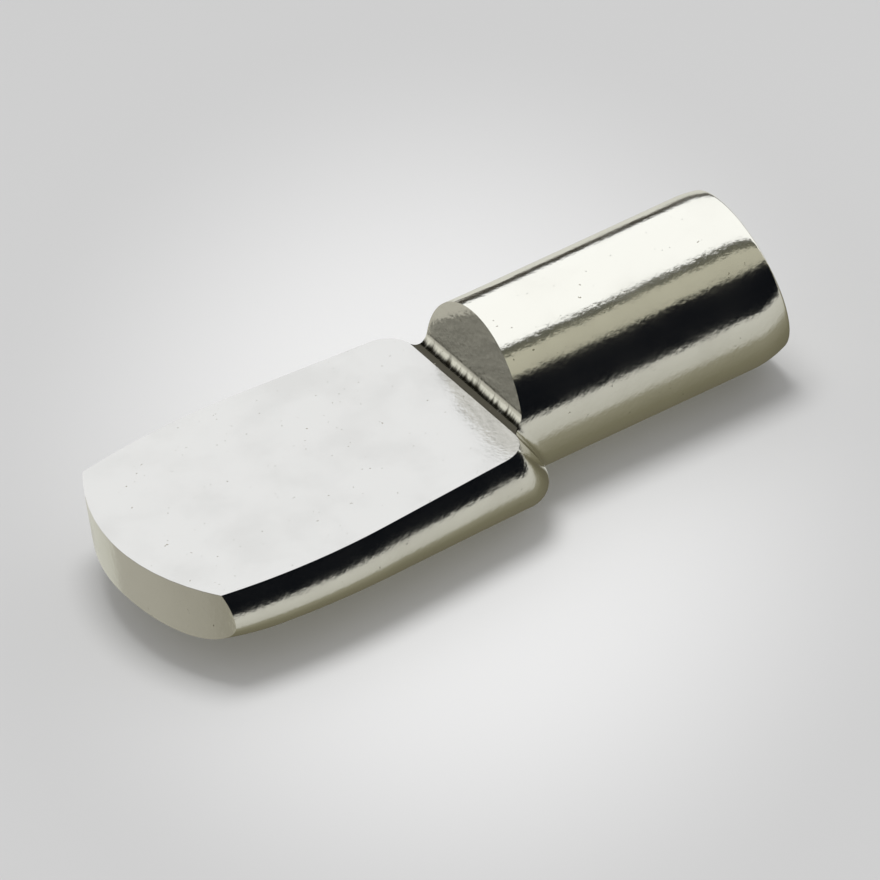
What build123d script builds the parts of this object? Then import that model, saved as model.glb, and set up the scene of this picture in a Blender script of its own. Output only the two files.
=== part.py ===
from build123d import *
from math import cos, radians, sin, sqrt, tan
import os

# Spoon-type shelf support: one cold-formed metal piece. Its round pin goes into a hole in the
# side of the cabinet, and the shelf rests on the flat top of its spoon.
# Frame: the origin is on the pin's axis, where the pin comes clear of the spoon and the face of
# the cabinet's side lies. +X runs along the pin to its free end, and +Z is up, out of the shelf
# face. The piece is drawn with the shoulder at zero, and then moved. Sizes are in millimetres.

# Pin
pin_diameter = 5.0
pin_length = 8.3            # shoulder to the middle of the free end
pin_end_lean = 6.0          # degrees by which the cropped end leans out at the bottom
pin_nose_length = 0.9       # stretch over which the pin draws in towards its end
pin_nose_drop = 0.15        # how far it has drawn in at the end
pin_edge_break = 0.1        # rounding of the rim
pin_swell = 0.02            # how much thicker the pin's radius has grown at the shoulder

# Step from the shelf face up to the pin
seat_height = 0.3           # shelf face above the pin's axis
shoulder_draft = 8.0        # degrees by which the shoulder leans back
shoulder_fillet = 0.4       # hollow at the foot of the shoulder

# Spoon, seen from above
spoon_length = 10.9         # shoulder to the middle of the tip
root_width = 6.88           # across the side edges, at the shoulder
side_flare = 5.2            # degrees by which each side edge opens out from the shoulder
flare_length = 5.0          # length of that straight stretch
side_radius = 17.0          # curve of each side edge from there to the tip
tip_radius = 7.0            # curve of the tip

# Spoon, in section
edge_wall = 0.95            # height of the bulging wall under the edge of the shelf face
wall_lean = 25.0            # degrees by which that wall spreads at the edge, above its upright foot
root_belly = 2.13           # depth of the belly under that wall, at the shoulder
tip_belly = 1.6             # the same, where the nose begins
nose_length = 2.9           # stretch over which the belly rises to the tip
nose_radius = 4.8           # curve of that rise

# Neck, where the spoon goes over into the pin
neck_reach = 1.0            # shoulder to the face of the cabinet's side
neck_lean = 28.0            # degrees by which the end of the spoon leans under the pin
neck_rounding = 0.9         # rounding of that end's outer edge
neck_fillet = 0.35          # hollow between that end and the pin

# The blank is made larger than the finished piece where a cut will trim it
overrun = 1.0
tip_overrun = 0.1
section_count = 9

pin_radius = pin_diameter / 2
wall_foot = seat_height - edge_wall
blank_top = pin_radius + overrun
wall_curve = edge_wall / sin(radians(wall_lean))
wall_bulge = wall_curve * (1 - cos(radians(wall_lean)))

# The hollow at the shoulder's foot touches the shelf face and the shoulder this far from the
# line in which the two would meet
shoulder_foot = seat_height * tan(radians(shoulder_draft))
hollow_reach = shoulder_fillet * tan(radians(90 - shoulder_draft) / 2)
hollow_start = shoulder_foot - hollow_reach


def half_width(x):
    """Half the spoon's width at a place along it: a straight flare, then an arc."""
    flare = root_width / 2 + min(-x, flare_length) * tan(radians(side_flare))
    past = max(-x - flare_length, 0)
    to_widest = side_radius * sin(radians(side_flare)) - past
    return flare + sqrt(side_radius**2 - to_widest**2) - side_radius * cos(radians(side_flare))


def belly_depth(x):
    """Depth of the belly under the wall's foot: a straight taper, then the nose's arc."""
    nose_start = spoon_length - nose_length
    taper = (root_belly - tip_belly) / nose_start
    past = max(-x - nose_start, 0)
    return root_belly - taper * min(-x, nose_start) - nose_radius + sqrt(nose_radius**2 - past**2)


def neck_plane_x(z):
    """Where the leaning end of the spoon lies at a height: it meets the shelf face at the hollow."""
    return hollow_start - (z - seat_height) * tan(radians(neck_lean))


def spoon_section(x):
    """One section of the spoon's blank: two bulging walls on a half-elliptic belly."""
    edge = half_width(x)
    widest = edge + wall_bulge
    top = edge - (blank_top - seat_height) * tan(radians(wall_lean))
    half_turn = radians(wall_lean) / 2
    middle = widest - wall_curve * (1 - cos(half_turn))
    middle_z = wall_foot + wall_curve * sin(half_turn)
    with BuildSketch(Plane(origin=(x, 0, 0), x_dir=(0, 1, 0), z_dir=(1, 0, 0))) as section:
        with BuildLine():
            ThreePointArc((-widest, wall_foot), (-middle, middle_z), (-edge, seat_height))
            Line((-edge, seat_height), (-top, blank_top))
            Line((-top, blank_top), (top, blank_top))
            Line((top, blank_top), (edge, seat_height))
            ThreePointArc((edge, seat_height), (middle, middle_z), (widest, wall_foot))
            EllipticalCenterArc((0, wall_foot), widest, belly_depth(x), start_angle=180, arc_size=180)
        make_face()
    return section.sketch.face()


def place(x, z):
    """A point in the plane of symmetry."""
    return Vector(x, 0, z)


def polyline(*points):
    """The straight edges that join points in the plane of symmetry, one after another."""
    return [Edge.make_line(start, end) for start, end in zip(points, points[1:])]


def across(outline):
    """A solid wider than the blank, from a closed outline in the plane of symmetry."""
    width = root_width + spoon_length
    return Pos(0, -width / 2, 0) * extrude(Face(Wire(outline)), amount=width, dir=(0, 1, 0))


def spoon_blank():
    """The spoon with its tip and neck end cut, still taller than the pin."""
    start = neck_plane_x(wall_foot - root_belly) + overrun
    step = (start + spoon_length + tip_overrun) / (section_count - 1)
    blank = loft([spoon_section(start - i * step) for i in range(section_count)])
    blank &= Pos(tip_radius - spoon_length, 0, 0) * Cylinder(tip_radius, 4 * blank_top)

    above, below, beyond = 2 * blank_top, -2 * blank_top, -2 * spoon_length
    kept = polyline(
        place(beyond, below),
        place(neck_plane_x(below), below),
        place(neck_plane_x(above), above),
        place(beyond, above),
        place(beyond, below),
    )
    blank &= across(kept)

    neck_end = blank.faces().filter_by(GeomType.PLANE).filter_by(lambda f: f.normal_at().X > 0.5)[0]
    outer_edges = neck_end.edges().filter_by(lambda edge: edge.center().Z < pin_radius)
    return fillet(outer_edges, neck_rounding)


def pin():
    """The pin, from inside the spoon to its free end, which draws in and is cropped at a lean.

    It is round and even where it goes into the cabinet, and swells a little behind that.
    """
    nose_start = pin_length - pin_nose_length
    nose_curve = (pin_nose_length**2 + pin_nose_drop**2) / (2 * pin_nose_drop)
    past_end = pin_nose_length + overrun
    inner_end = -pin_radius
    inner_radius = pin_radius + pin_swell * (neck_reach - inner_end) / neck_reach
    outline = polyline(
        place(nose_start + past_end, pin_radius - nose_curve + sqrt(nose_curve**2 - past_end**2)),
        place(nose_start + past_end, 0),
        place(inner_end, 0),
        place(inner_end, inner_radius),
        place(neck_reach, pin_radius),
        place(nose_start, pin_radius),
    )
    half = past_end / 2
    nose = Edge.make_three_point_arc(
        place(nose_start, pin_radius),
        place(nose_start + half, pin_radius - nose_curve + sqrt(nose_curve**2 - half**2)),
        place(nose_start + past_end, pin_radius - nose_curve + sqrt(nose_curve**2 - past_end**2)),
    )
    whole = revolve(Face(Wire(outline + [nose])), Axis.X)

    lean = pin_diameter * tan(radians(pin_end_lean))
    kept = polyline(
        place(-2 * pin_diameter, -pin_diameter),
        place(pin_length + lean, -pin_diameter),
        place(pin_length - lean, pin_diameter),
        place(-2 * pin_diameter, pin_diameter),
        place(-2 * pin_diameter, -pin_diameter),
    )
    cropped = whole & across(kept)
    rim = cropped.faces().sort_by(Axis.X)[-1].edges()
    return fillet(rim, pin_edge_break)


def space_over_shelf_face():
    """What is cut away over the shelf face, up to the shoulder and the hollow at its foot."""
    draft = radians(shoulder_draft)
    turn = (radians(90) - draft) / 2
    hollow_centre = place(hollow_start, seat_height + shoulder_fillet)
    foot_start = place(hollow_start, seat_height)
    foot_middle = hollow_centre + place(sin(turn), -cos(turn)) * shoulder_fillet
    foot_end = hollow_centre + place(cos(draft), -sin(draft)) * shoulder_fillet
    top = place(foot_end.X + blank_top * tan(draft), foot_end.Z + blank_top)
    beyond = -2 * spoon_length
    outline = polyline(
        foot_end,
        top,
        place(beyond, top.Z),
        place(beyond, seat_height),
        foot_start,
    )
    return across(outline + [Edge.make_three_point_arc(foot_start, foot_middle, foot_end)])


def is_neck_edge(edge):
    """Whether an edge runs round the pin where the pin comes out of the spoon."""
    middle = edge @ 0.5
    off_axis = sqrt(middle.Y**2 + middle.Z**2)
    on_pin = abs(off_axis - pin_radius) < 2 * pin_swell * (1 + pin_radius / neck_reach)
    drawn_straight = edge.geom_type in (GeomType.LINE, GeomType.CIRCLE)
    return on_pin and not drawn_straight and middle.X < pin_length / 2


def shelf_support():
    """The whole piece: spoon and pin in one, hollowed at the neck, with the shelf face cut."""
    joined = spoon_blank() + pin()
    around_pin = joined.edges().filter_by(is_neck_edge)
    piece = fillet(around_pin, neck_fillet) - space_over_shelf_face()
    return Pos(-neck_reach, 0, 0) * piece


os.makedirs("parts", exist_ok=True)
export_step(shelf_support().solid(), "parts/shelf_support.step")
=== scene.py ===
from math import acos, atan2, cos, pi, radians, sin, sqrt, tan

import bmesh
import bpy
from bpy.props import FloatProperty, FloatVectorProperty, PointerProperty
from mathutils import Matrix, Vector


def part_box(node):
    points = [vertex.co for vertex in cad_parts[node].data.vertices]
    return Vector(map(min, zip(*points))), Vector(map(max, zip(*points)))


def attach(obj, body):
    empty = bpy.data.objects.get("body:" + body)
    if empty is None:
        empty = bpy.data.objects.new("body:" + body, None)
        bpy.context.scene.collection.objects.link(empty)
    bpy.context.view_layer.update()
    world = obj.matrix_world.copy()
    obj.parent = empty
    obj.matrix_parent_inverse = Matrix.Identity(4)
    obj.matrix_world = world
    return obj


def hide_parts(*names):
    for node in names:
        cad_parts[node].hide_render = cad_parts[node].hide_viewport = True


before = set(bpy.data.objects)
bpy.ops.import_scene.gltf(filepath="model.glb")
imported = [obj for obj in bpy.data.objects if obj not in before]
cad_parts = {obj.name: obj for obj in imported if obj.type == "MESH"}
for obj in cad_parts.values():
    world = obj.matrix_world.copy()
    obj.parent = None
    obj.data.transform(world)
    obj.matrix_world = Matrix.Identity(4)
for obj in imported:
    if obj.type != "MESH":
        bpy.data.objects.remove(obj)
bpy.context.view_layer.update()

bl_info = {
    "name": "Shelf support",
    "version": (1, 0, 0),
    "blender": (4, 5, 0),
    "location": "3D View > Sidebar > Shelf support",
    "description": "A spoon-type shelf support in plated metal, with its studio",
    "category": "Object",
}

NODE = "shelf_support"

# Frame: the origin is on the pin's axis, +X runs along the pin to its free end and +Z is up.
# The outline is worked out with the shoulder at zero, and moved back by the neck's reach.

# Meshing
SECTORS = 224               # points round the piece
TIP_CAP = (0.04, 0.15, 0.3, 0.45, 0.6, 0.75, 0.87, 0.95)
PIN_CAP = (0.985, 0.95, 0.88, 0.75, 0.6, 0.45, 0.3, 0.15, 0.04)
BODY_ROWS = 70
BEND_ROWS = 26
HOLLOW_ROWS = 12
SHANK_ROWS = 18
NOSE_ROWS = 10
RIM_ROWS = 5
CUT_STEPS = 16
FIXED_POINT_STEPS = 12
BISECTION_STEPS = 30
PROFILE_STEPS = 60
SLOPE_STEP = 1e-5
SHARP_ANGLE = radians(32)
SOFT_EDGE_SEGMENTS = 3

# Patterns of the metal, and the streaky edge of the painted shade in the hollow: scale and detail
# of each noise, and the limits between which it shows
PATCH_NOISE = (520, 5)
PATCH_LIMITS = (0.40, 0.72)
SPECK_NOISE = (9000, 2)
SPECK_LIMITS = (0.72, 0.78)
PEEL_NOISE = (6500, 2)
WAVE_NOISE = (900, 1)
# The streak noise gives the painted shade in the hollow its streaky edge.
STREAK_SCALE = (500, 7000, 500)
STREAK_DETAIL = 3
STREAK_LIMITS = (1.4, 1.0)  # how far the streaks reach up the hollow, in hollow radii

# Camera: the direction it looks from, its roll, and the point in the middle of the picture
VIEW_AZIMUTH = radians(-25.32)
VIEW_ELEVATION = radians(35.20)
VIEW_ROLL = radians(-9.61)
VIEW_AIM = Vector((-0.001172, 0, 0))
VIEW_OFFSET = (-0.000757, -0.001140)
VIEW_DISTANCE = 0.5887
LENS = 915.8
SENSOR = 36.0

# Surroundings seen in the metal: (angle round the pin's axis in degrees, colour)
RIGHT_BANDS = (
    (-90, (0.20, 0.19, 0.13)),
    (-42, (0.13, 0.12, 0.08)),
    (-38, (0.62, 0.62, 0.56)),
    (-4, (0.80, 0.80, 0.74)),
    (-1, (0.06, 0.05, 0.04)),
    (11, (0.05, 0.05, 0.04)),
    (14, (1.22, 1.24, 1.26)),
    (104, (1.22, 1.24, 1.26)),
    (107, (0.10, 0.10, 0.08)),
    (116, (0.12, 0.12, 0.09)),
    (119, (0.56, 0.55, 0.45)),
    (143, (0.50, 0.49, 0.40)),
    (147, (0.003, 0.004, 0.006)),
    (198, (0.003, 0.004, 0.006)),
    (203, (0.66, 0.66, 0.62)),
    (230, (0.55, 0.55, 0.50)),
    (240, (0.30, 0.29, 0.22)),
    (269, (0.20, 0.19, 0.13)),
)
LEFT_BANDS = (
    (-90, (0.30, 0.29, 0.24)),
    (-73, (0.38, 0.37, 0.32)),
    (-38, (0.45, 0.44, 0.39)),
    (-2, (0.80, 0.80, 0.74)),
    (24, (0.80, 0.80, 0.74)),
    (36, (0.05, 0.05, 0.04)),
    (198, (0.02, 0.02, 0.015)),
    (205, (0.50, 0.50, 0.46)),
    (234, (0.42, 0.41, 0.34)),
    (269, (0.42, 0.41, 0.34)),
)
BAND_START = -90
LEFT_LIMIT = -0.30
RIGHT_LIMIT = -0.20


def length(name, description, default):
    """A size in metres that the user can change."""
    return FloatProperty(
        name=name,
        description=description,
        default=default,
        min=0,
        precision=5,
        subtype="DISTANCE",
        unit="LENGTH",
    )


def lean(name, description, default):
    """An angle that the user can change, given in degrees."""
    return FloatProperty(
        name=name,
        description=description,
        default=radians(default),
        subtype="ANGLE",
        unit="ROTATION",
    )


def colour(name, description, default):
    """A colour that the user can change."""
    return FloatVectorProperty(
        name=name,
        description=description,
        default=default,
        size=3,
        min=0,
        max=1,
        subtype="COLOR",
    )


def number(name, description, default):
    """A plain number that the user can change."""
    return FloatProperty(
        name=name,
        description=description,
        default=default,
        min=0,
        precision=4,
    )


class ShelfSupportSizes(bpy.types.PropertyGroup):
    """Sizes of the shelf support."""

    pin_diameter: length("Pin diameter", "Diameter of the pin", 0.005)
    pin_length: length("Pin length", "Shoulder to the middle of the free end", 0.0083)
    pin_end_lean: lean("Pin end lean", "How far the cropped end leans out at the bottom", 6)
    pin_nose_length: length("Pin nose length", "Stretch over which the pin draws in", 0.0009)
    pin_nose_drop: length("Pin nose drop", "How far the pin has drawn in at its end", 0.00015)
    pin_edge_break: length("Pin edge break", "Rounding of the rim", 0.0001)
    pin_swell: length("Pin swell", "Growth of the pin's radius at the shoulder", 0.00002)
    seat_height: length("Seat height", "Shelf face above the pin's axis", 0.0003)
    shoulder_draft: lean("Shoulder draft", "How far the shoulder leans back", 8)
    shoulder_fillet: length("Shoulder fillet", "Hollow at the foot of the shoulder", 0.0004)
    spoon_length: length("Spoon length", "Shoulder to the middle of the tip", 0.0109)
    root_width: length("Root width", "Across the side edges at the shoulder", 0.00688)
    side_flare: lean("Side flare", "How far each side edge opens out", 5.2)
    flare_length: length("Flare length", "Length of the straight part of a side edge", 0.005)
    side_radius: length("Side radius", "Curve of a side edge towards the tip", 0.017)
    tip_radius: length("Tip radius", "Curve of the tip", 0.007)
    edge_wall: length("Edge wall", "Bulging wall under the shelf face's edge", 0.00095)
    wall_lean: lean("Wall lean", "How far that wall spreads at the edge", 25)
    root_belly: length("Root belly", "Depth of the belly at the shoulder", 0.00213)
    tip_belly: length("Tip belly", "Depth of the belly where the nose begins", 0.0016)
    nose_length: length("Nose length", "Stretch over which the belly rises", 0.0029)
    nose_radius: length("Nose radius", "Curve of that rise", 0.0048)
    neck_reach: length("Neck reach", "Shoulder to the face of the cabinet's side", 0.001)
    neck_lean: lean("Neck lean", "How far the spoon's end leans under the pin", 28)
    neck_rounding: length("Neck rounding", "Rounding of that end's outer edge", 0.0009)
    neck_fillet: length("Neck fillet", "Hollow between that end and the pin", 0.00035)
    edge_softening: length("Edge softening", "Rounding of the cut edges", 0.00004)


class ShelfSupportMetal(bpy.types.PropertyGroup):
    """Looks of the plated metal."""

    base: colour("Base colour", "Colour of the plating", (0.78, 0.765, 0.70))
    cloud: colour("Cloud colour", "Colour of its duller patches", (0.745, 0.73, 0.665))
    face: colour("Shelf face colour", "Colour of the coined shelf face", (0.64, 0.63, 0.61))
    face_cloud: colour("Shelf face clouds", "Colour of its duller patches", (0.60, 0.59, 0.57))
    # Painted shade: a dark colour laid into the foot of the hollow at the shoulder, with a streaky
    # edge.
    painted_hollow_shade: colour("Painted hollow shade colour", "Colour of the painted shade in the hollow", (0.06, 0.055, 0.04))
    speck: colour("Speck colour", "Colour of its small dark specks", (0.30, 0.28, 0.22))
    roughness: number("Roughness", "Roughness of the plating", 0.12)
    rough_patch: number("Patch roughness", "What the duller patches add to it", 0.06)
    face_rough: number("Shelf face roughness", "Roughness of the coined shelf face", 0.16)
    peel_depth: length("Peel depth", "Depth of the fine waves in the plating", 0.000005)
    wave_depth: length("Wave depth", "Depth of the broad waves in the metal", 0.000012)


class ShelfSupportStudio(bpy.types.PropertyGroup):
    """The floor, the lamp and the plain light."""

    # Painted light: the floor's colour is lighter near the piece and darker far from it, a pool of
    # light painted on the floor.
    painted_pool_centre: colour("Floor centre", "Colour of the floor near the piece", (0.88, 0.88, 0.88))
    painted_pool_edge: colour("Floor edge", "Colour of the floor far from it", (0.635, 0.635, 0.635))
    floor_size: length("Floor size", "Length of the floor's sides", 0.6)
    gradient_start: length("Gradient start", "Where the floor's colour starts to change", 0.003)
    gradient_reach: length("Gradient reach", "Where the floor's colour stops changing", 0.013)
    plain_light: number("Plain light", "Strength of the even light from all round", 0.6)
    lamp_power: number("Lamp power", "Power of the lamp overhead in watts", 0.062)
    lamp_size: length("Lamp size", "Diameter of the lamp", 0.06)
    lamp_height: length("Lamp height", "Height of the lamp over the floor", 0.12)


# Outline of the piece


def half_width(size, x):
    """Half the spoon's width at a place along it: a straight flare, then an arc."""
    flare = size.root_width / 2 + min(-x, size.flare_length) * tan(size.side_flare)
    past = max(-x - size.flare_length, 0)
    to_widest = size.side_radius * sin(size.side_flare) - past
    rise = sqrt(size.side_radius**2 - to_widest**2) - size.side_radius * cos(size.side_flare)
    return flare + rise


def belly_depth(size, x):
    """Depth of the belly under the wall's foot: a straight taper, then the nose's arc."""
    nose_start = size.spoon_length - size.nose_length
    taper = (size.root_belly - size.tip_belly) / nose_start
    past = max(-x - nose_start, 0)
    drop = size.nose_radius - sqrt(size.nose_radius**2 - past**2)
    return size.root_belly - taper * min(-x, nose_start) - drop


def hollow_start(size):
    """Where the hollow at the shoulder's foot leaves the shelf face."""
    reach = size.shoulder_fillet * tan((pi / 2 - size.shoulder_draft) / 2)
    return size.seat_height * tan(size.shoulder_draft) - reach


def neck_plane_x(size, z):
    """Where the leaning end of the spoon lies at a height."""
    return hollow_start(size) - (z - size.seat_height) * tan(size.neck_lean)


def body_radius(size, angle, x):
    """How far the uncut spoon reaches from the pin's axis at an angle round it."""
    across = abs(cos(angle))
    up = sin(angle)
    edge = half_width(size, x)
    curve = size.edge_wall / sin(size.wall_lean)
    widest = edge + curve * (1 - cos(size.wall_lean))
    depth = belly_depth(size, x)
    foot = size.seat_height - size.edge_wall
    if up * edge >= size.seat_height * across:
        facing = across * cos(size.wall_lean) + up * sin(size.wall_lean)
        away = edge * cos(size.wall_lean) + size.seat_height * sin(size.wall_lean)
        return min(away / facing, size.pin_diameter / up)
    if up * widest >= foot * across:
        middle = widest - curve
        along = across * middle + up * foot
        return along + sqrt(along**2 - middle**2 - foot**2 + curve**2)
    a = (across / widest) ** 2 + (up / depth) ** 2
    b = -2 * up * foot / depth**2
    c = (foot / depth) ** 2 - 1
    return (-b + sqrt(b * b - 4 * a * c)) / (2 * a)


def pin_radius(size, x):
    """The pin's radius: a slight swell at the shoulder, then even, then drawn in at the nose."""
    radius = size.pin_diameter / 2
    if x < size.neck_reach:
        return radius + size.pin_swell * (size.neck_reach - x) / size.neck_reach
    past = max(x - size.pin_length + size.pin_nose_length, 0)
    curve = (size.pin_nose_length**2 + size.pin_nose_drop**2) / (2 * size.pin_nose_drop)
    return radius - curve + sqrt(curve**2 - past**2)


def tip_x(size, y):
    """Where the curved tip lies at a distance from the middle."""
    return size.tip_radius - sqrt(size.tip_radius**2 - y**2) - size.spoon_length


def settle(step, start):
    """The number that a step gives back unchanged, found by repeating the step."""
    value = start
    for _ in range(FIXED_POINT_STEPS):
        value = step(value)
    return value


def rounded_corner(corner, back, inward, radius, count):
    """Points of the arc that rounds a corner between the ways back and inward from it."""
    opening = acos(max(-1, min(1, back.dot(inward))))
    run = radius / tan(opening / 2)
    centre = corner + (back + inward).normalized() * (radius / sin(opening / 2))
    start = (corner + back * run) - centre
    end = (corner + inward * run) - centre
    sweep = start.angle_signed(end)
    return [centre + turned(start, sweep * i / (count - 1)) for i in range(count)]


def turned(arm, angle):
    """A flat vector turned by an angle, clockwise as angle_signed counts it."""
    return Vector((
        arm.x * cos(angle) + arm.y * sin(angle),
        arm.y * cos(angle) - arm.x * sin(angle),
    ))


def evenly(points, count):
    """A run of points spread evenly along a broken line."""
    travelled = [0.0]
    for here, there in zip(points, points[1:]):
        travelled.append(travelled[-1] + (there - here).length)
    spread = []
    index = 0
    for i in range(count):
        want = travelled[-1] * i / (count - 1)
        while index < len(points) - 2 and travelled[index + 1] < want:
            index += 1
        stretch = travelled[index + 1] - travelled[index]
        part = (want - travelled[index]) / stretch if stretch > 0 else 0
        spread.append(points[index].lerp(points[index + 1], part))
    return spread


def neck_corner(size, angle):
    """The corner between the uncut spoon and its leaning end, and the arc that rounds it."""
    up = sin(angle)
    x = settle(lambda at: neck_plane_x(size, body_radius(size, angle, at) * up), 0)
    radius = body_radius(size, angle, x)
    behind = body_radius(size, angle, x - SLOPE_STEP)
    back = Vector((-SLOPE_STEP, behind - radius)).normalized()
    inward = Vector((up * tan(size.neck_lean), -1)).normalized()
    corner = Vector((x, radius))
    arc = rounded_corner(corner, back, inward, size.neck_rounding, PROFILE_STEPS)
    bottom = arc[-1] + inward * size.pin_diameter
    plane = [arc[-1].lerp(bottom, i / PROFILE_STEPS) for i in range(1, PROFILE_STEPS)]
    return arc + plane


def neck_hollow(size, bend):
    """The centre of the hollow between the spoon's end and the pin, and where it touches both."""
    low = min(point.x for point in bend)
    high = max(point.x for point in bend) + 2 * size.neck_fillet
    for _ in range(BISECTION_STEPS):
        x = (low + high) / 2
        centre = Vector((x, pin_radius(size, x) + size.neck_fillet))
        gap = min((point - centre).length for point in bend)
        if gap < size.neck_fillet:
            low = x
        else:
            high = x
    nearest = min(range(len(bend)), key=lambda i: (bend[i] - centre).length)
    return centre, nearest


def meridian(size, angle):
    """The outline from the tip to the rim of the pin's end, at an angle round the pin's axis."""
    y, z = cos(angle), sin(angle)
    start = settle(lambda at: tip_x(size, body_radius(size, angle, at) * y), -size.spoon_length)
    bend = neck_corner(size, angle)
    end = bend[0].x
    rows = []
    for i in range(BODY_ROWS):
        x = start + (end - start) * (1 - cos(pi / 2 * i / BODY_ROWS))
        rows.append(Vector((x, body_radius(size, angle, x))))

    centre, nearest = neck_hollow(size, bend)
    rows += evenly(bend[: nearest + 1], BEND_ROWS)
    arm = bend[nearest] - centre
    foot = Vector((0, -size.neck_fillet))
    sweep = arm.angle_signed(foot)
    for i in range(1, HOLLOW_ROWS + 1):
        rows.append(centre + turned(arm, sweep * i / HOLLOW_ROWS))

    nose_start = size.pin_length - size.pin_nose_length
    for i in range(1, SHANK_ROWS + 1):
        x = centre.x + (nose_start - centre.x) * i / SHANK_ROWS
        rows.append(Vector((x, pin_radius(size, x))))

    slant = tan(size.pin_end_lean)
    rim_x = settle(lambda at: size.pin_length - slant * z * pin_radius(size, at), size.pin_length)
    rim = Vector((rim_x, pin_radius(size, rim_x)))
    behind = pin_radius(size, rim_x - SLOPE_STEP)
    back = Vector((-SLOPE_STEP, behind - rim.y)).normalized()
    inward = Vector((slant * z, -1)).normalized()
    arc = rounded_corner(rim, back, inward, size.pin_edge_break, RIM_ROWS)
    for i in range(1, NOSE_ROWS):
        x = nose_start + (arc[0].x - nose_start) * i / NOSE_ROWS
        rows.append(Vector((x, pin_radius(size, x))))
    return rows + arc


def outline_rows(size):
    """Every ring of points from the middle of the tip to the middle of the pin's end."""
    step = 2 * pi / SECTORS
    angles = [step * k for k in range(SECTORS)]
    lines = [meridian(size, angle) for angle in angles]
    rings = []
    for row in range(len(lines[0])):
        ring = []
        for angle, line in zip(angles, lines):
            x, radius = line[row]
            ring.append(Vector((x, radius * cos(angle), radius * sin(angle))))
        rings.append(ring)

    tip = []
    for part in TIP_CAP:
        tip.append([Vector((tip_x(size, p.y * part), p.y * part, p.z * part)) for p in rings[0]])
    slant = tan(size.pin_end_lean)
    end = []
    for part in PIN_CAP:
        ring = []
        for p in rings[-1]:
            ring.append(Vector((size.pin_length - slant * p.z * part, p.y * part, p.z * part)))
        end.append(ring)
    return tip + rings + end


def cut_outline(size):
    """Outline of what is cut away over the shelf face, up to the shoulder and its hollow."""
    draft = size.shoulder_draft
    radius = size.shoulder_fillet
    start = hollow_start(size)
    turn = pi / 2 - draft
    points = []
    for i in range(CUT_STEPS + 1):
        angle = turn * i / CUT_STEPS
        x = start + radius * sin(angle)
        z = size.seat_height + radius * (1 - cos(angle))
        points.append((x, z))
    top = size.pin_diameter
    last_x, last_z = points[-1]
    points.append((last_x + top * tan(draft), last_z + top))
    points.append((-2 * size.spoon_length, last_z + top))
    points.append((-2 * size.spoon_length, size.seat_height))
    return points


def place_in_order(face, count):
    """A number that depends only on a face's points, so that the faces always come in one order."""
    first, second = sorted(point.index for point in face.verts)[:2]
    return (first * count + second) * count + len(face.verts)


def new_object(name, mesh_maker):
    """A new mesh object at the origin, filled by a function that is given a bmesh."""
    mesh = bpy.data.meshes.new(name)
    maker = bmesh.new()
    mesh_maker(maker)
    bmesh.ops.recalc_face_normals(maker, faces=maker.faces)
    maker.verts.index_update()
    maker.faces.sort(key=lambda face: place_in_order(face, len(maker.verts)))
    maker.to_mesh(mesh)
    maker.free()
    made = bpy.data.objects.new(name, mesh)
    bpy.context.scene.collection.objects.link(made)
    return made


def fill_blank(size, maker):
    """The spoon and pin before the cut: one ring of points drawn out again and again."""
    rings = outline_rows(size)
    step = 2 * pi / SECTORS
    turn = Matrix.Rotation(pi / 2, 4, "Y") @ Matrix.Rotation(pi / 2, 4, "Z")
    made = bmesh.ops.create_circle(maker, segments=SECTORS, radius=1, matrix=turn)
    points = made["verts"]
    edges = list(maker.edges)
    first_edges = edges
    for index, ring in enumerate(rings):
        if index:
            drawn = bmesh.ops.extrude_edge_only(maker, edges=edges)["geom"]
            points = [item for item in drawn if isinstance(item, bmesh.types.BMVert)]
            edges = [item for item in drawn if isinstance(item, bmesh.types.BMEdge)]
        for point in points:
            sector = round(atan2(point.co.z, point.co.y) / step) % SECTORS
            point.co = ring[sector] - Vector((size.neck_reach, 0, 0))
    bmesh.ops.edgeloop_fill(maker, edges=first_edges)
    bmesh.ops.edgeloop_fill(maker, edges=edges)


def fill_cutter(size, maker):
    """A prism wider than the spoon, to be cut from it."""
    width = size.root_width + size.spoon_length
    corners = [
        maker.verts.new((x - size.neck_reach, -width / 2, z)) for x, z in cut_outline(size)
    ]
    side = maker.faces.new(corners)
    drawn = bmesh.ops.extrude_face_region(maker, geom=[side])["geom"]
    moved = [item for item in drawn if isinstance(item, bmesh.types.BMVert)]
    bmesh.ops.translate(maker, verts=moved, vec=(0, width, 0))


def cut(piece, cutter):
    """Cuts one object from another for good, and removes the cutter."""
    modifier = piece.modifiers.new("cut", "BOOLEAN")
    modifier.operation = "DIFFERENCE"
    modifier.solver = "EXACT"
    modifier.object = cutter
    evaluated = piece.evaluated_get(bpy.context.evaluated_depsgraph_get())
    finished = bpy.data.meshes.new_from_object(evaluated)
    piece.modifiers.clear()
    piece.data = finished
    finished.name = piece.name
    bpy.data.objects.remove(cutter)


# Materials


def add_node(tree, kind, label, **settings):
    """A new shader node with a label and its settings."""
    made = tree.nodes.new(kind)
    made.label = label
    for name, value in settings.items():
        setattr(made, name, value)
    return made


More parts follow.
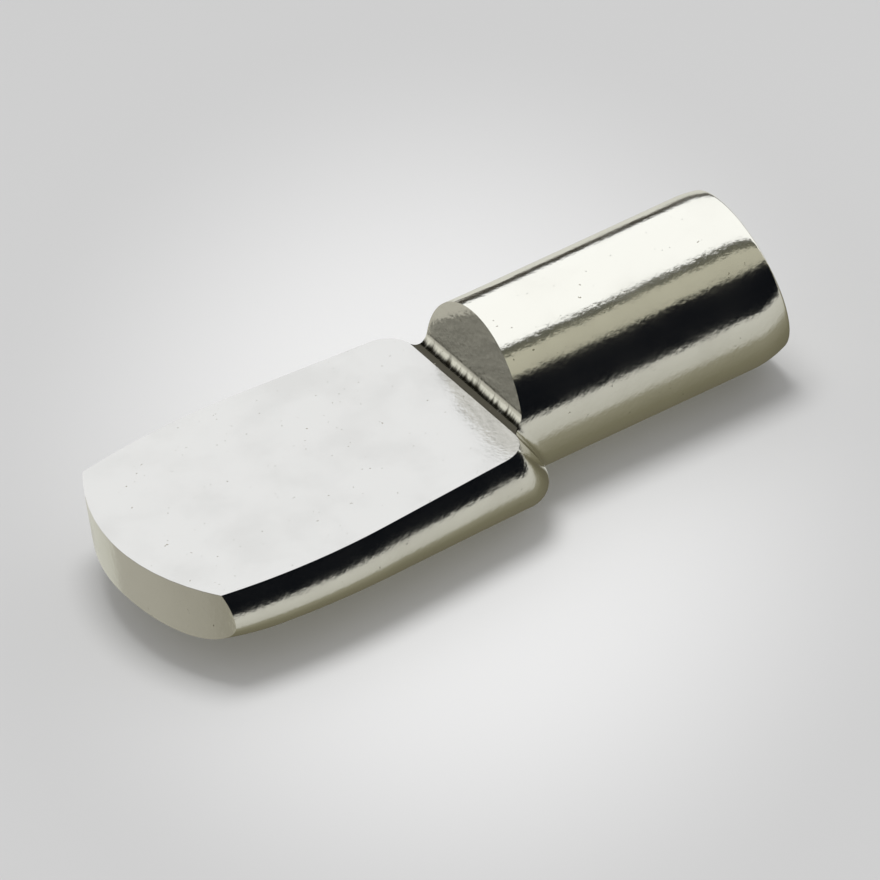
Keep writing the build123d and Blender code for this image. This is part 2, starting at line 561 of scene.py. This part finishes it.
def surface_group():
    """Shader group: fine waves, duller patches and specks of a plated surface."""
    tree = bpy.data.node_groups.new("Plated surface", "ShaderNodeTree")
    tree.interface.new_socket("Vector", in_out="INPUT", socket_type="NodeSocketVector")
    for name in ("Cloud", "Speck", "Peel", "Wave"):
        tree.interface.new_socket(name, in_out="OUTPUT", socket_type="NodeSocketFloat")
    given = add_node(tree, "NodeGroupInput", "Given")
    out = add_node(tree, "NodeGroupOutput", "Out")

    def noise(label, grain):
        made = add_node(tree, "ShaderNodeTexNoise", label)
        made.inputs["Scale"].default_value, made.inputs["Detail"].default_value = grain
        tree.links.new(given.outputs["Vector"], made.inputs["Vector"])
        return made.outputs["Fac"]

    def between(label, source, limits):
        made = add_node(tree, "ShaderNodeMapRange", label, interpolation_type="SMOOTHSTEP")
        made.inputs["From Min"].default_value, made.inputs["From Max"].default_value = limits
        tree.links.new(source, made.inputs["Value"])
        return made.outputs["Result"]

    cloud = between("Patches", noise("Patch noise", PATCH_NOISE), PATCH_LIMITS)
    speck = between("Specks", noise("Speck noise", SPECK_NOISE), SPECK_LIMITS)
    tree.links.new(cloud, out.inputs["Cloud"])
    tree.links.new(speck, out.inputs["Speck"])
    tree.links.new(noise("Peel noise", PEEL_NOISE), out.inputs["Peel"])
    tree.links.new(noise("Wave noise", WAVE_NOISE), out.inputs["Wave"])
    return tree


def face_group(size):
    """Shader group: where the shelf face is, and where painted shade goes at the foot of the hollow
    next to it.
    """
    tree = bpy.data.node_groups.new("Shelf face", "ShaderNodeTree")
    tree.interface.new_socket("Vector", in_out="INPUT", socket_type="NodeSocketVector")
    for name in ("Face", "Hollow"):
        tree.interface.new_socket(name, in_out="OUTPUT", socket_type="NodeSocketFloat")
    given = add_node(tree, "NodeGroupInput", "Given")
    out = add_node(tree, "NodeGroupOutput", "Out")
    split = add_node(tree, "ShaderNodeSeparateXYZ", "Split")
    tree.links.new(given.outputs["Vector"], split.inputs["Vector"])
    high = add_node(tree, "ShaderNodeMath", "Up at the face", operation="GREATER_THAN")
    high.inputs[1].default_value = size.seat_height - size.edge_softening / 2
    tree.links.new(split.outputs["Z"], high.inputs[0])
    spoon = add_node(tree, "ShaderNodeMath", "Short of the hollow", operation="LESS_THAN")
    start = hollow_start(size) - size.neck_reach
    spoon.inputs[1].default_value = start
    tree.links.new(split.outputs["X"], spoon.inputs[0])
    both = add_node(tree, "ShaderNodeMath", "Both", operation="MULTIPLY")
    tree.links.new(high.outputs["Value"], both.inputs[0])
    tree.links.new(spoon.outputs["Value"], both.inputs[1])
    tree.links.new(both.outputs["Value"], out.inputs["Face"])

    # Painted shade: a mask over the foot of the hollow, with a streaky edge from the noise, that
    # darkens the colour there.
    streak = add_node(tree, "ShaderNodeTexNoise", "Streaks")
    streak.inputs["Detail"].default_value = STREAK_DETAIL
    streak.inputs["Scale"].default_value = 1
    stretch = add_node(tree, "ShaderNodeVectorMath", "Stretch", operation="MULTIPLY")
    stretch.inputs[1].default_value = STREAK_SCALE
    tree.links.new(given.outputs["Vector"], stretch.inputs[0])
    tree.links.new(stretch.outputs["Vector"], streak.inputs["Vector"])
    ragged = add_node(tree, "ShaderNodeMath", "Ragged", operation="MULTIPLY_ADD")
    ragged.inputs[1].default_value = size.shoulder_fillet
    tree.links.new(streak.outputs["Fac"], ragged.inputs[0])
    tree.links.new(split.outputs["X"], ragged.inputs[2])
    fade = add_node(tree, "ShaderNodeMapRange", "Fade", interpolation_type="SMOOTHSTEP")
    fade.inputs["From Min"].default_value = start + STREAK_LIMITS[0] * size.shoulder_fillet
    fade.inputs["From Max"].default_value = start + STREAK_LIMITS[1] * size.shoulder_fillet
    tree.links.new(ragged.outputs["Value"], fade.inputs["Value"])
    past = add_node(tree, "ShaderNodeMath", "Past the face", operation="GREATER_THAN")
    past.inputs[1].default_value = start
    tree.links.new(split.outputs["X"], past.inputs[0])
    foot = add_node(tree, "ShaderNodeMath", "At the foot", operation="MULTIPLY")
    tree.links.new(fade.outputs["Result"], foot.inputs[0])
    tree.links.new(past.outputs["Value"], foot.inputs[1])
    hollow = add_node(tree, "ShaderNodeMath", "Hollow", operation="MULTIPLY")
    tree.links.new(foot.outputs["Value"], hollow.inputs[0])
    tree.links.new(high.outputs["Value"], hollow.inputs[1])
    tree.links.new(hollow.outputs["Value"], out.inputs["Hollow"])
    return tree


def plated_metal(look, size):
    """Bright nickel plating over formed metal, duller on the coined shelf face, with painted shade
    at the foot of the hollow.
    """
    material = bpy.data.materials.new("Nickel plate")
    material.use_nodes = True
    tree = material.node_tree
    shader = tree.nodes["Principled BSDF"]
    place = add_node(tree, "ShaderNodeTexCoord", "Place")
    surface = add_node(tree, "ShaderNodeGroup", "Surface", node_tree=surface_group())
    tree.links.new(place.outputs["Object"], surface.inputs["Vector"])
    face = add_node(tree, "ShaderNodeGroup", "Face", node_tree=face_group(size))
    tree.links.new(place.outputs["Object"], face.inputs["Vector"])

    def mix(label, factor, first, second):
        made = add_node(tree, "ShaderNodeMix", label, data_type="RGBA")
        tree.links.new(factor, made.inputs["Factor"])
        if isinstance(first, bpy.types.NodeSocket):
            tree.links.new(first, made.inputs["A"])
        else:
            made.inputs["A"].default_value = (*first, 1)
        if isinstance(second, bpy.types.NodeSocket):
            tree.links.new(second, made.inputs["B"])
        else:
            made.inputs["B"].default_value = (*second, 1)
        return made.outputs["Result"]

    def bump(label, height, depth, normal):
        made = add_node(tree, "ShaderNodeBump", label)
        made.inputs["Distance"].default_value = depth
        made.inputs["Strength"].default_value = 1
        tree.links.new(height, made.inputs["Height"])
        if normal:
            tree.links.new(normal, made.inputs["Normal"])
        return made.outputs["Normal"]

    clouded = mix("Clouded", surface.outputs["Cloud"], look.base, look.cloud)
    coined = mix("Coined", surface.outputs["Cloud"], look.face, look.face_cloud)
    parted = mix("Parted", face.outputs["Face"], clouded, coined)
    # Painted shade: the foot of the hollow at the shoulder gets a dark colour.
    hollow_shaded = mix("Painted hollow shade", face.outputs["Hollow"], parted, look.painted_hollow_shade)
    specked = mix("Specked", surface.outputs["Speck"], hollow_shaded, look.speck)
    tree.links.new(specked, shader.inputs["Base Color"])
    shader.inputs["Metallic"].default_value = 1

    plain = add_node(tree, "ShaderNodeMapRange", "Plain roughness")
    plain.inputs["To Min"].default_value = look.roughness
    plain.inputs["To Max"].default_value = look.face_rough
    tree.links.new(face.outputs["Face"], plain.inputs["Value"])
    rough = add_node(tree, "ShaderNodeMath", "Roughness", operation="MULTIPLY_ADD")
    rough.inputs[1].default_value = look.rough_patch
    tree.links.new(surface.outputs["Cloud"], rough.inputs[0])
    tree.links.new(plain.outputs["Result"], rough.inputs[2])
    tree.links.new(rough.outputs["Value"], shader.inputs["Roughness"])

    waved = bump("Waves", surface.outputs["Wave"], look.wave_depth, None)
    peeled = bump("Peel", surface.outputs["Peel"], look.peel_depth, waved)
    tree.links.new(peeled, shader.inputs["Normal"])
    return material


def floor_with_painted_light(look):
    """Pale floor with a painted pool of light: its colour darkens evenly away from the piece."""
    material = bpy.data.materials.new("Floor")
    material.use_nodes = True
    tree = material.node_tree
    shader = tree.nodes["Principled BSDF"]
    shader.inputs["Roughness"].default_value = 1
    shader.inputs["Specular IOR Level"].default_value = 0
    place = add_node(tree, "ShaderNodeTexCoord", "Place")
    # The painted pool of light is squeezed along the camera's way, so that it looks round from the
    # camera.
    squeeze = add_node(tree, "ShaderNodeVectorMath", "Squeeze", operation="MULTIPLY")
    squeeze.inputs[1].default_value = (1, sin(VIEW_ELEVATION), 1)
    tree.links.new(place.outputs["Object"], squeeze.inputs[0])
    far = add_node(tree, "ShaderNodeVectorMath", "How far", operation="LENGTH")
    tree.links.new(squeeze.outputs["Vector"], far.inputs[0])
    fade = add_node(tree, "ShaderNodeMapRange", "Fade", interpolation_type="SMOOTHSTEP")
    fade.inputs["From Min"].default_value = look.gradient_start
    fade.inputs["From Max"].default_value = look.gradient_reach
    tree.links.new(far.outputs["Value"], fade.inputs["Value"])
    mix = add_node(tree, "ShaderNodeMix", "Paint", data_type="RGBA")
    mix.inputs["A"].default_value = (*look.painted_pool_centre, 1)
    mix.inputs["B"].default_value = (*look.painted_pool_edge, 1)
    tree.links.new(fade.outputs["Result"], mix.inputs["Factor"])
    tree.links.new(mix.outputs["Result"], shader.inputs["Base Color"])
    return material


def band_ramp(tree, label, bands, around):
    """A colour ramp round the pin's axis."""
    made = add_node(tree, "ShaderNodeValToRGB", label)
    ramp = made.color_ramp
    while len(ramp.elements) < len(bands):
        ramp.elements.new(0.5)
    for element, (angle, _) in zip(ramp.elements, bands):
        element.position = (angle - BAND_START) / 360
    for element, (_, shade) in zip(ramp.elements, bands):
        element.color = (*shade, 1)
    tree.links.new(around, made.inputs["Fac"])
    return made.outputs["Color"]


def surroundings(look):
    """Even pale light, and bands of light and dark that only show in the metal."""
    world = bpy.data.worlds.new("Surroundings")
    world.use_nodes = True
    bpy.context.scene.world = world
    tree = world.node_tree
    background = tree.nodes["Background"]
    place = add_node(tree, "ShaderNodeTexCoord", "Direction")
    split = add_node(tree, "ShaderNodeSeparateXYZ", "Split")
    tree.links.new(place.outputs["Generated"], split.inputs["Vector"])

    angle = add_node(tree, "ShaderNodeMath", "Angle", operation="ARCTAN2")
    tree.links.new(split.outputs["Z"], angle.inputs[0])
    tree.links.new(split.outputs["Y"], angle.inputs[1])
    turn = add_node(tree, "ShaderNodeMath", "Turn", operation="MULTIPLY_ADD")
    turn.inputs[1].default_value = 1 / (2 * pi)
    turn.inputs[2].default_value = -BAND_START / 360
    tree.links.new(angle.outputs["Value"], turn.inputs[0])
    around = add_node(tree, "ShaderNodeMath", "Around", operation="FRACT")
    tree.links.new(turn.outputs["Value"], around.inputs[0])

    flat = add_node(tree, "ShaderNodeCombineXYZ", "Across")
    tree.links.new(split.outputs["Y"], flat.inputs["Y"])
    tree.links.new(split.outputs["Z"], flat.inputs["Z"])
    reach = add_node(tree, "ShaderNodeVectorMath", "Reach", operation="LENGTH")
    tree.links.new(flat.outputs["Vector"], reach.inputs[0])
    ratio = add_node(tree, "ShaderNodeMath", "Ratio", operation="DIVIDE")
    tree.links.new(split.outputs["X"], ratio.inputs[0])
    tree.links.new(reach.outputs["Value"], ratio.inputs[1])
    side = add_node(tree, "ShaderNodeMapRange", "Side", interpolation_type="SMOOTHSTEP")
    side.inputs["From Min"].default_value = LEFT_LIMIT
    side.inputs["From Max"].default_value = RIGHT_LIMIT
    tree.links.new(ratio.outputs["Value"], side.inputs["Value"])

    left = band_ramp(tree, "Left bands", LEFT_BANDS, around.outputs["Value"])
    right = band_ramp(tree, "Right bands", RIGHT_BANDS, around.outputs["Value"])
    bands = add_node(tree, "ShaderNodeMix", "Bands", data_type="RGBA")
    tree.links.new(side.outputs["Result"], bands.inputs["Factor"])
    tree.links.new(left, bands.inputs["A"])
    tree.links.new(right, bands.inputs["B"])

    ray = add_node(tree, "ShaderNodeLightPath", "Ray")
    seen = add_node(tree, "ShaderNodeMix", "Seen", data_type="RGBA")
    seen.inputs["A"].default_value = (look.plain_light, look.plain_light, look.plain_light, 1)
    tree.links.new(ray.outputs["Is Glossy Ray"], seen.inputs["Factor"])
    tree.links.new(bands.outputs["Result"], seen.inputs["B"])
    tree.links.new(seen.outputs["Result"], background.inputs["Color"])


# Camera


def place_camera():
    """The main camera, from above and behind the tip's left."""
    back = Vector((
        sin(VIEW_AZIMUTH) * cos(VIEW_ELEVATION),
        -cos(VIEW_AZIMUTH) * cos(VIEW_ELEVATION),
        sin(VIEW_ELEVATION),
    ))
    level = Vector((cos(VIEW_AZIMUTH), sin(VIEW_AZIMUTH), 0))
    upright = back.cross(level)
    right = cos(VIEW_ROLL) * level + sin(VIEW_ROLL) * upright
    up = cos(VIEW_ROLL) * upright - sin(VIEW_ROLL) * level
    middle = VIEW_AIM + VIEW_OFFSET[0] * right + VIEW_OFFSET[1] * up
    data = bpy.data.cameras.new("Camera")
    data.sensor_width = SENSOR
    data.lens = LENS
    data.clip_start = VIEW_DISTANCE / 10
    data.clip_end = VIEW_DISTANCE * 10
    camera = bpy.data.objects.new("Camera", data)
    turn = Matrix((right, up, back)).transposed().to_4x4()
    camera.matrix_world = Matrix.Translation(middle + back * VIEW_DISTANCE) @ turn
    bpy.context.scene.collection.objects.link(camera)
    bpy.context.scene.camera = camera


# Operators and panel


class ShelfSupportBuild(bpy.types.Operator):
    """Builds the shelf support"""

    bl_idname = "shelf_support.build"
    bl_label = "Build the shelf support"

    def execute(self, context):
        size = context.scene.shelf_support_sizes
        piece = new_object("shelf_support_metal", lambda maker: fill_blank(size, maker))
        cutter = new_object("cutter", lambda maker: fill_cutter(size, maker))
        cut(piece, cutter)
        if not piece.data.polygons:
            raise RuntimeError("Nothing of the shelf support is left after the cut")
        piece.data.materials.clear()
        piece.data.materials.append(plated_metal(context.scene.shelf_support_metal, size))
        piece.data.shade_smooth()
        piece.data.set_sharp_from_angle(angle=SHARP_ANGLE)
        soft = piece.modifiers.new("soft edges", "BEVEL")
        soft.width = size.edge_softening
        soft.segments = SOFT_EDGE_SEGMENTS
        soft.limit_method = "ANGLE"
        soft.angle_limit = SHARP_ANGLE
        soft.harden_normals = True
        weighted = piece.modifiers.new("even normals", "WEIGHTED_NORMAL")
        weighted.keep_sharp = True
        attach(piece, "root")
        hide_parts(NODE)
        return {"FINISHED"}


class ShelfSupportStage(bpy.types.Operator):
    """Builds the floor, the lamp, the surroundings and the camera"""

    bl_idname = "shelf_support.stage"
    bl_label = "Build the studio"

    def execute(self, context):
        look = context.scene.shelf_support_studio
        lowest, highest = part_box(NODE)
        middle = (Vector(lowest) + Vector(highest)) / 2
        floor_z = lowest[2]

        def fill_floor(maker):
            bmesh.ops.create_grid(maker, x_segments=1, y_segments=1, size=look.floor_size / 2)

        floor = new_object("floor", fill_floor)
        floor.location = (middle.x, middle.y, floor_z)
        floor.rotation_euler.z = VIEW_AZIMUTH
        floor.data.materials.append(floor_with_painted_light(look))
        floor.visible_glossy = False

        lamp = bpy.data.lights.new("lamp", "AREA")
        lamp.shape = "DISK"
        lamp.size = look.lamp_size
        lamp.energy = look.lamp_power
        hung = bpy.data.objects.new("lamp", lamp)
        hung.location = (middle.x, middle.y, floor_z + look.lamp_height)
        hung.visible_glossy = False
        hung.visible_camera = False
        context.scene.collection.objects.link(hung)

        surroundings(look)
        place_camera()
        context.scene.view_settings.view_transform = "Standard"
        return {"FINISHED"}


class ShelfSupportPanel(bpy.types.Panel):
    """Sizes, looks and buttons of the shelf support."""

    bl_idname = "VIEW3D_PT_shelf_support"
    bl_label = "Shelf support"
    bl_space_type = "VIEW_3D"
    bl_region_type = "UI"
    bl_category = "Shelf support"

    def draw(self, context):
        groups = (
            (context.scene.shelf_support_sizes, ShelfSupportBuild),
            (context.scene.shelf_support_metal, None),
            (context.scene.shelf_support_studio, ShelfSupportStage),
        )
        for group, operator in groups:
            for name in group.__annotations__:
                self.layout.prop(group, name)
            if operator:
                self.layout.operator(operator.bl_idname)


CLASSES = (
    ShelfSupportSizes,
    ShelfSupportMetal,
    ShelfSupportStudio,
    ShelfSupportBuild,
    ShelfSupportStage,
    ShelfSupportPanel,
)


def register():
    """Registers the classes and gives the scene its settings."""
    for item in CLASSES:
        bpy.utils.register_class(item)
    bpy.types.Scene.shelf_support_sizes = PointerProperty(type=ShelfSupportSizes)
    bpy.types.Scene.shelf_support_metal = PointerProperty(type=ShelfSupportMetal)
    bpy.types.Scene.shelf_support_studio = PointerProperty(type=ShelfSupportStudio)


def unregister():
    """Takes the settings and the classes away again."""
    del bpy.types.Scene.shelf_support_studio
    del bpy.types.Scene.shelf_support_metal
    del bpy.types.Scene.shelf_support_sizes
    for item in reversed(CLASSES):
        bpy.utils.unregister_class(item)


def main():
    """Builds the piece and the studio."""
    register()
    bpy.ops.shelf_support.build()
    bpy.ops.shelf_support.stage()


if __name__ == "__main__":
    main()
